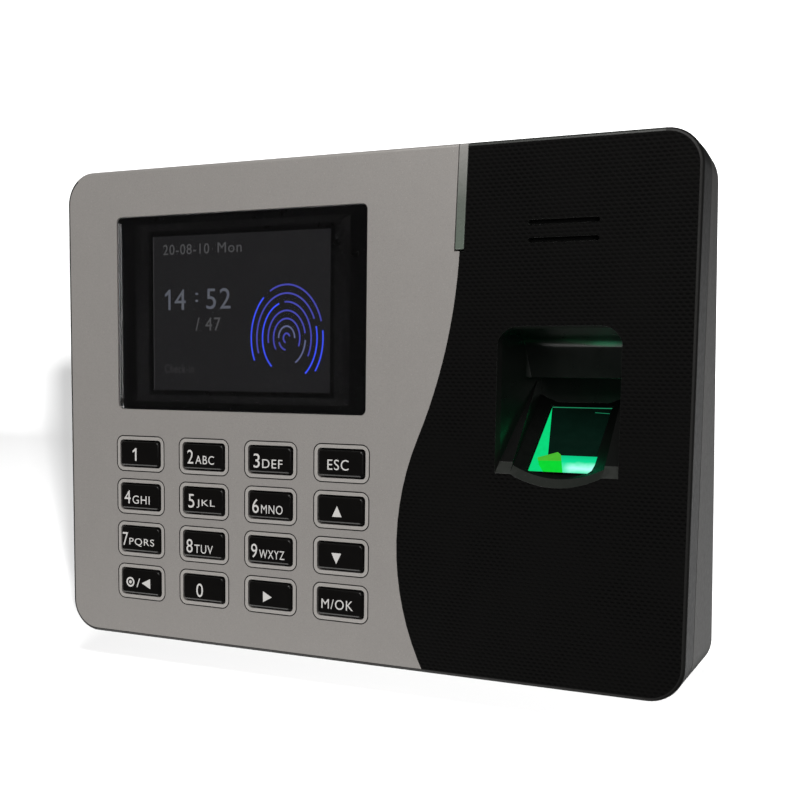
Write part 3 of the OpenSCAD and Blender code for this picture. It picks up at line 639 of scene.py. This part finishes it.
# What each key carries: words, left edge, width, foot and height, from the middle of its cap.
LEGENDS = {
    "2": [("2", -5.35, 2.0, -1.95, DIGIT_H), ("ABC", -2.65, 6.3, -1.95, LETTER_H)],
    "3": [("3", -5.3, 2.0, -2.15, DIGIT_H), ("DEF", -2.5, 6.4, -2.1, LETTER_H)],
    "4": [("4", -5.65, 2.2, -2.0, DIGIT_H), ("GHI", -2.75, 6.05, -1.95, LETTER_H)],
    "5": [("5", -5.1, 2.05, -1.95, DIGIT_H), ("JKL", -2.3, 6.15, -1.85, LETTER_H)],
    "6": [("6", -5.65, 2.05, -2.15, DIGIT_H), ("MNO", -2.85, 6.85, -2.15, LETTER_H)],
    "7": [("7", -6.45, 1.95, -1.9, DIGIT_H), ("PQRS", -4.1, 8.85, -1.95, LETTER_H)],
    "8": [("8", -5.8, 2.1, -2.35, DIGIT_H), ("TUV", -3.05, 6.2, -2.3, LETTER_H)],
    "9": [("9", -6.05, 1.95, -2.15, DIGIT_H), ("WXYZ", -3.45, 8.05, -2.1, LETTER_H)],
    "0": [("0", -2.5, 2.25, -2.4, DIGIT_H)],
    "esc": [("ESC", -4.1, 6.35, -1.7, 2.8)],
    "ok": [("M/OK", -5.65, 9.55, -1.7, 2.65)],
    "back": [("/", -1.7, 1.35, -1.5, 2.65)],
}
# The figure one, in a box one wide and one high, because the font's own is a bare stroke.
ONE = ((0.6, 0), (1, 0), (1, 1), (0.72, 1), (0, 0.78), (0, 0.64), (0.6, 0.76))
# The mark on the back key: a ring with a spot in it, and its three radii.
CLOCK_AT = (-3.85, -0.1)
CLOCK_R = (1.45, 0.95, 0.5)
MARKS = {
    "1": [[(-2.6 + 1.4 * u, -1.95 + 3.65 * v) for u, v in ONE]],
    "up": [[(-2.6, -1.7), (0.3, -1.7), (-1.15, 1.25)]],
    "down": [[(-2.7, 1.05), (-1.25, -1.9), (0.25, 1.05)]],
    "right": [[(-2.2, -1.85), (0.6, -0.32), (-2.2, 1.2)]],
    "back": [[(0.2, -0.17), (3.25, -1.65), (3.25, 1.3)], disc(CLOCK_R[2], CLOCK_AT)],
}
MARKS["back"] += ring(CLOCK_R[0], CLOCK_R[1], CLOCK_AT)

for key in KEYS:
    refined(key, 0.22, segments=4)
    label = key[len("key_"):]
    top = face_box(key)[2]
    middle_x, middle_z = face_middle(key)

    def on_cap(u, v, w=0.0):
        """A point on this key's cap, w millimetres proud of it."""
        return face(middle_x + u + NUDGE[0], top - w, middle_z + v + NUDGE[1])

    for i, (words, start, width, foot_z, height) in enumerate(LEGENDS.get(label, ())):
        box = (middle_x + start + NUDGE[0], middle_z + foot_z + NUDGE[1], width, height)
        piece(f"{key}_words_{i}", lettering(key, words, box, top), key, "key_black", LEGEND_WHITE)
    if label in MARKS:
        mesh = slab_mesh(key + "_mark", MARKS[label], on_cap, INK)
        piece(key + "_mark", mesh, key, "key_black", LEGEND_WHITE)

# ---------------------------------------------------------------- screen

# The lit area, the thickness of the black print behind the window and the margin round it, and the
# thickness of the lit layer with the lift of the words on it.
LIT_W, LIT_H = 57.6, 43.2
PRINT_T = 0.04
PRINT_MARGIN = 0.4
LIT_T = 0.05
WORD_LIFT = 0.01
refined("screen_window", 0.12, segments=2)
win = face_box("screen_window")
window_x, window_z = face_middle("screen_window")
lcd_front = face_box("lcd_panel")[2]
MASK_BLACK = polished("mask_black", (0.0022, 0.002, 0.002), 0.3, specular=0.2)
SCREEN_DARK = lamp("screen_dark", (1.0, 0.95, 1.06), 0.0135, grain=6)


def rectangle(width, height):
    """Outline of a rectangle round the origin."""
    w, h = width / 2, height / 2
    return [(-w, -h), (w, -h), (w, h), (-w, h)]


def frame_quads(outer, inner):
    """Four quads between two centred rectangles, each given as (width, height)."""
    big, small = rectangle(*outer), rectangle(*inner)
    return [[big[i], big[(i + 1) % 4], small[(i + 1) % 4], small[i]] for i in range(4)]


def behind_cover(depth):
    """Returns a place(u, v, w) at that depth, from the window's centre."""
    return lambda u, v, w=0.0: face(window_x + u, depth - w, window_z + v)


window_size = (win[1] - win[0] - PRINT_MARGIN, win[5] - win[4] - PRINT_MARGIN)
quads = frame_quads(window_size, (LIT_W, LIT_H))
mesh = slab_mesh("screen_mask", quads, behind_cover(win[3] + PRINT_T), PRINT_T)
piece("screen_mask", mesh, "terminal", "window_black", MASK_BLACK)
mesh = slab_mesh("screen_image", [rectangle(LIT_W, LIT_H)], behind_cover(lcd_front), LIT_T)
piece("screen_image", mesh, "terminal", "screen_glass", SCREEN_DARK)
image_y = lcd_front - LIT_T - WORD_LIFT

TEXT_BLUE = lamp("text_blue", (0.82, 0.88, 1.25), 0.13)
TEXT_GREY = lamp("text_grey", (1.0, 1.0, 1.04), 0.085)
TEXT_DIM = lamp("text_dim", (1.0, 0.98, 1.0), 0.04)
LOOP_BLUE = lamp("loop_blue", (0.14, 0.15, 1.0), 0.5, grain=4)
LOOP_BRIGHT = lamp("loop_bright", (0.05, 0.09, 1.0), 1.1, grain=3)
LOOP_PALE = lamp("loop_pale", (0.45, 0.5, 1.0), 0.3, grain=2)
# What the screen shows: words, left, drop of the top edge, width and height, within the lit area.
WORDS = (
    ("date", "20-08-10", 3.6, 2.4, 15.5, 2.8, TEXT_GREY),
    ("weekday", "Mon", 21.9, 2.3, 7.8, 2.8, TEXT_GREY),
    ("hours", "4", 7.4, 14.9, 3.8, 5.7, TEXT_BLUE),
    ("colon", ":", 14.4, 15.9, 1.0, 2.6, TEXT_BLUE),
    ("minutes", "52", 18.1, 14.8, 8.0, 5.7, TEXT_BLUE),
    ("seconds", "/ 47", 14.5, 22.8, 8.3, 3.7, TEXT_GREY),
    ("state", "Check-in", 3.9, 35.9, 10.0, 2.4, TEXT_DIM),
)
corner_x, corner_z = window_x - LIT_W / 2, window_z + LIT_H / 2
for name, words, left, drop, width, height, shade in WORDS:
    box = (corner_x + left, corner_z - drop - height, width, height)
    mesh = lettering(name, words, box, image_y)
    piece("screen_" + name, mesh, "terminal", "screen_glass", shade)
left, drop, width, height = 4.1, 14.9, 1.9, 5.7
one = [(left - LIT_W / 2 + width * u, LIT_H / 2 - drop - height + height * v) for u, v in ONE]
mesh = sheet_mesh("screen_one", [one], behind_cover(image_y))
piece("screen_one", mesh, "terminal", "screen_glass", TEXT_BLUE)

# A generic fingerprint of nested loops stands in for the picture on the screen.
PRINT_AT = (15.2, -7.0)
PRINT_STRETCH = 1.28
LINE_W = 0.45


def loop(radius, start, end, steps=40):
    """Part of an upright oval, from start to end degrees, opening downwards past its sides."""
    points = []
    for i in range(steps + 1):
        a = math.radians(start + (end - start) * i / steps)
        points.append(
            (PRINT_AT[0] + radius * math.cos(a), PRINT_AT[1] + radius * PRINT_STRETCH * math.sin(a))
        )
    return points


# Each loop: its radius, where it starts and ends in degrees, and which of the three blues it has.
LOOPS = (
    (11.2, 18, 118, 0), (11.2, 130, 205, 1), (11.2, -38, 8, 1), (9.4, 25, 200, 0), (9.4, -52, 15, 1),
    (7.6, -30, 95, 0), (7.6, 108, 232, 1), (5.8, 10, 190, 0), (5.8, -62, -4, 2), (4.1, -25, 215, 0),
    (2.5, 0, 180, 2), (2.5, 200, 262, 0), (1.0, 20, 250, 0),
)
for kind, shade in enumerate((LOOP_BLUE, LOOP_BRIGHT, LOOP_PALE)):
    quads = []
    for radius, start, end, style in LOOPS:
        if style == kind:
            quads += ribbon(loop(radius, start, end), LINE_W)
    mesh = sheet_mesh(f"screen_loops_{kind}", quads, behind_cover(image_y))
    piece(f"screen_loops_{kind}", mesh, "terminal", "screen_glass", shade)

# A faint line of stray light stands at the left edge of the lit area.
line_x = 0.2 - LIT_W / 2
edge_line = ribbon([(line_x, -LIT_H / 2), (line_x, LIT_H / 2)], 0.22)
mesh = sheet_mesh("screen_edge_line", edge_line, behind_cover(image_y))
piece("screen_edge_line", mesh, "terminal", "screen_glass", TEXT_DIM)

# ---------------------------------------------------------------- finger sensor

prism = [v.co.copy() for v in nodes["sensor_prism"].data.vertices]
foot = min(prism, key=lambda p: p.dot(INTO))
crown = max(prism, key=lambda p: p.dot(UP))
sensor_x = middle("sensor_prism", RIGHT)
foot.x = crown.x = sensor_x
ALONG = (crown - foot).normalized()
OUT = RIGHT.cross(ALONG)
# The length of the glass up its slope, and half its width.
GLASS_L = (crown - foot).length / MM
prism_left, prism_right = face_box("sensor_prism")[:2]
HALF = (prism_right - prism_left) / 2


def on_glass(u, v, w=0.02):
    """A point on the finger glass: u across, v up its slope from its front edge, w off it."""
    return foot + (RIGHT * u + ALONG * v + OUT * w) * MM


def glow_strip():
    """The brightest part of the glow: a hot band that fades to green across and up the glass."""
    shade = Shade("glow_strip", (0.003, 0.003, 0.003), 0.4, specular=0.1)
    across = shade.math("SUBTRACT", shade.along(RIGHT), sensor_x / MM)
    up_glass = shade.math("SUBTRACT", shade.along(ALONG), foot.dot(ALONG) / MM)
    waver = shade.math("MULTIPLY_ADD", shade.noise(2.5), 1.6, -2.7)
    from_band = shade.math("ABSOLUTE", shade.math("ADD", up_glass, waver))
    band = shade.between(from_band, 0.2, 2.2, 1.0, 0.0)
    sideways = shade.between(across, 0.6, 2.6, 0.15, 1.0)
    hot = shade.math("MULTIPLY", sideways, band)
    fading = shade.between(up_glass, 3.0, 6.3, 0.0, 1.0)
    under = shade.blend(fading, (0.0, 0.74, 0.3), (0.0, 0.5, 0.2))
    shade.link(shade.blend(hot, under, (0.42, 1.0, 0.88)), "Emission Color")
    shade.put("Emission Strength", 1.1)
    return shade


refined("sensor_prism", 0.1)
GLOW_GREEN = lamp("glow_green", (0.0, 0.7, 0.2), 1.0)
GLOW_LEAF = lamp("glow_leaf", (0.0, 0.66, 0.03), 1.05)
GLOW_YELLOW = lamp("glow_yellow", (0.07, 0.52, 0.03), 0.95)
# The glow is four patches that meet on the glass, in the places that on_glass takes.
FRONT_V = 0.1
STRIP_END = HALF + 0.35
SIDE = [(-HALF, FRONT_V), (-4.1, FRONT_V), (-5.75, 2.45), (-6.85, 5.2), (-4.4, 6.3), (-HALF, GLASS_L - 0.5)]
LEAF = [(-4.1, FRONT_V), (0.9, FRONT_V), (-0.4, 4.3), (-6.45, 4.1), (-5.75, 2.45)]
PATCH = [(-6.45, 4.1), (-0.4, 4.3), (-1.05, 6.5), (-2.1, 7.5), (-6.85, 5.2)]
STRIP = [
    (0.9, FRONT_V), (HALF - 0.8, FRONT_V), (HALF, 1.2), (STRIP_END, 3.4), (STRIP_END, 6.3), (-1.0, 6.3)
]
GLOW_PARTS = (
    ("side", GLOW_GREEN, SIDE),
    ("leaf", GLOW_LEAF, LEAF),
    ("patch", GLOW_YELLOW, PATCH),
    ("strip", glow_strip(), STRIP),
)
for label, shade, outline in GLOW_PARTS:
    name = "sensor_glow_" + label
    piece(name, sheet_mesh(name, [outline], on_glass), "terminal", "prism_glass", shade)
# Painted light: glowing green lines near the back edge of the glass.
RIM_GLOW_GREEN = lamp("rim_glow_green", (0.03, 0.55, 0.24), 0.5)
back_line = ribbon([(-HALF, GLASS_L - 0.2), (HALF, GLASS_L - 0.2)], 0.3)
short_line = ribbon([(3.9, GLASS_L - 2.0), (HALF - 0.2, GLASS_L - 2.3)], 0.18)
mesh = sheet_mesh("sensor_rim_glow", back_line + short_line, on_glass)
piece("sensor_rim_glow", mesh, "terminal", "prism_glass", RIM_GLOW_GREEN)

# A pale hairline, a painted highlight, runs round the lip of the channel in front of the glass: the
# channel's radius, the height of its lowest point on the face, and how far behind the face the line runs.
CHANNEL_R = 30.15
LIP_Z = -17.0
LIP_BACK = 2.0
axis_z = LIP_Z + CHANNEL_R / OUT.dot(UP)


def on_lip(turn, back):
    """A point on the lip: turn degrees from its lowest point, back millimetres behind the face."""
    a = math.radians(turn)
    start = face(0, 0, axis_z) + RIGHT * (sensor_x - ORIGIN.dot(RIGHT))
    arm = (RIGHT * math.sin(a) - OUT * math.cos(a)) * CHANNEL_R * MM
    drop = arm.dot(INTO) / ALONG.dot(INTO)
    return start + arm + ALONG * (back * MM - drop)


line = [(-17.6, LIP_BACK - 0.7)] + [(turn, LIP_BACK) for turn in range(-17, 17)]
quads = ribbon([(math.radians(turn) * CHANNEL_R, back) for turn, back in line], 0.3)
lip = sheet_mesh("lip_highlight", quads, lambda u, v: on_lip(math.degrees(u / CHANNEL_R), v))
piece("lip_highlight", lip, "terminal", "black_shell", EDGE_SHEEN_AND_SHADE)

# ---------------------------------------------------------------- studio

# A paper sweep under and behind the terminal, in metres: its profile is (y, z).
FLOOR_DROP = 0.0005
SWEEP_HALF_W = 1.6
SWEEP_FRONT = -0.9
SWEEP_BACK = 0.24
SWEEP_R = 0.14
SWEEP_TOP = 1.2
SWEEP_STEPS = 16
floor_z = cad_box[0].z - FLOOR_DROP
profile = [(SWEEP_FRONT, floor_z)]
for i in range(SWEEP_STEPS + 1):
    a = math.radians(90 * i / SWEEP_STEPS)
    profile.append((SWEEP_BACK + SWEEP_R * math.sin(a), floor_z + SWEEP_R * (1 - math.cos(a))))
profile.append((SWEEP_BACK + SWEEP_R, SWEEP_TOP))
bm = bmesh.new()
rows = [[bm.verts.new((x, y, z)) for x in (-SWEEP_HALF_W, SWEEP_HALF_W)] for y, z in profile]
for low, high in zip(rows, rows[1:]):
    bm.faces.new([low[0], low[1], high[1], high[0]]).smooth = True
sweep_mesh = bpy.data.meshes.new("studio_sweep")
bm.to_mesh(sweep_mesh)
bm.free()
PAPER = Shade("studio_paper", (0.9, 0.9, 0.9), 0.9, specular=0.0).mottle(200, 0.01)
sweep_mesh.materials.append(PAPER.material)
sweep = bpy.data.objects.new("studio_sweep", sweep_mesh)
bpy.context.scene.collection.objects.link(sweep)
sweep.visible_diffuse = False
sweep.visible_glossy = False
sweep.visible_transmission = False

paper_only = bpy.data.collections.new("paper_only")
paper_only.objects.link(sweep)
terminal_only = bpy.data.collections.new("terminal_only")
for obj in bpy.context.scene.collection.objects:
    if obj.type == "MESH" and obj != sweep:
        terminal_only.objects.link(obj)


def softbox(name, at, aim, size, watts, color, lights, shadows=terminal_only):
    """A square soft light at a place, aimed at another; it lights one group, shaded by another."""
    light = bpy.data.lights.new(name, "AREA")
    light.shape = "SQUARE"
    light.size = size
    light.energy = watts
    light.color = color
    obj = bpy.data.objects.new(name, light)
    bpy.context.scene.collection.objects.link(obj)
    obj.location = at
    obj.rotation_mode = "QUATERNION"
    obj.rotation_quaternion = (Vector(aim) - Vector(at)).to_track_quat("-Z", "Y")
    obj.light_linking.receiver_collection = lights
    obj.light_linking.blocker_collection = shadows


CENTRE = face(0, 0, 0)
WARM = (1.0, 0.985, 0.965)
WHITE = (1.0, 1.0, 1.0)
softbox("key_light", (0.1, -0.8, 1.05), CENTRE, 0.9, 13.5, WARM, terminal_only)
softbox("front_light", (0.9, -1.15, 0.5), CENTRE, 0.7, 4.5, WARM, terminal_only)
softbox("low_light", (-0.6, -0.55, -0.8), CENTRE, 0.9, 8.0, WARM, terminal_only)
softbox("side_light", (0.75, 0.85, -0.35), CENTRE, 0.8, 2.9, WHITE, terminal_only)
softbox("back_light", (-0.6, 0.9, 0.9), CENTRE, 0.9, 3.0, WHITE, terminal_only)
softbox("paper_fill", (0.3, -1.0, 1.1), CENTRE, 0.9, 12.0, WHITE, paper_only, paper_only)
softbox("paper_top", (0.1, 0.05, 1.5), (0, 0, floor_z), 0.4, 12.0, WHITE, paper_only)
softbox("paper_side", (1.18, -1.35, 0.45), CENTRE, 0.07, 60.0, WHITE, paper_only)
softbox("paper_low", (1.2, -1.35, 0.12), CENTRE, 0.07, 40.0, WHITE, paper_only)

# The sensor's own light inside the recess.
recess_only = bpy.data.collections.new("recess_only")
recess_only.objects.link(hood)
sensor_light = bpy.data.lights.new("sensor_light", "POINT")
sensor_light.energy = 0.0016
sensor_light.color = (0.0, 1.0, 0.4)
sensor_light.shadow_soft_size = 0.002
lamp_obj = bpy.data.objects.new("sensor_light", sensor_light)
bpy.context.scene.collection.objects.link(lamp_obj)
lamp_obj.location = on_glass(2.0, 8.0, 5.0)
lamp_obj.light_linking.receiver_collection = recess_only

# The world is white to the camera and dim to everything else.
world = bpy.data.worlds.new("studio")
bpy.context.scene.world = world
world.use_nodes = True
tree = world.node_tree
dim = tree.nodes["Background"]
dim.inputs["Color"].default_value = (1, 1, 1, 1)
dim.inputs["Strength"].default_value = 0.03
bright = tree.nodes.new("ShaderNodeBackground")
bright.inputs["Strength"].default_value = 1.0
seen = tree.nodes.new("ShaderNodeLightPath")
choice = tree.nodes.new("ShaderNodeMixShader")
tree.links.new(seen.outputs["Is Camera Ray"], choice.inputs[0])
tree.links.new(dim.outputs[0], choice.inputs[1])
tree.links.new(bright.outputs[0], choice.inputs[2])
tree.links.new(choice.outputs[0], tree.nodes["World Output"].inputs["Surface"])
bpy.context.scene.view_settings.view_transform = "Standard"

# ---------------------------------------------------------------- camera

# The camera's place in the face frame, and its turns in degrees: left of straight in, down, and
# about its own line of sight.
CAMERA_AT = (136.92, -260.62, 8.23)
PAN, TILT, ROLL = (math.radians(turn) for turn in (24.11, 5.534, 0.816))
camera_data = bpy.data.cameras.new("camera")
camera_data.sensor_width = 36
camera_data.lens = 49.95
camera_data.shift_x = -0.015
camera_data.shift_y = 0.1125
camera_data.clip_start = 0.01
camera_data.clip_end = 20
camera = bpy.data.objects.new("camera", camera_data)
bpy.context.scene.collection.objects.link(camera)
level = RIGHT * math.cos(PAN) + INTO * math.sin(PAN)
back = (RIGHT * math.sin(PAN) - INTO * math.cos(PAN)) * math.cos(TILT) + UP * math.sin(TILT)
side = level * math.cos(ROLL) + back.cross(level) * math.sin(ROLL)
turn = Matrix((side, back.cross(side), back)).transposed()
camera.matrix_world = Matrix.Translation(face(*CAMERA_AT)) @ turn.to_4x4()
bpy.context.scene.camera = camera
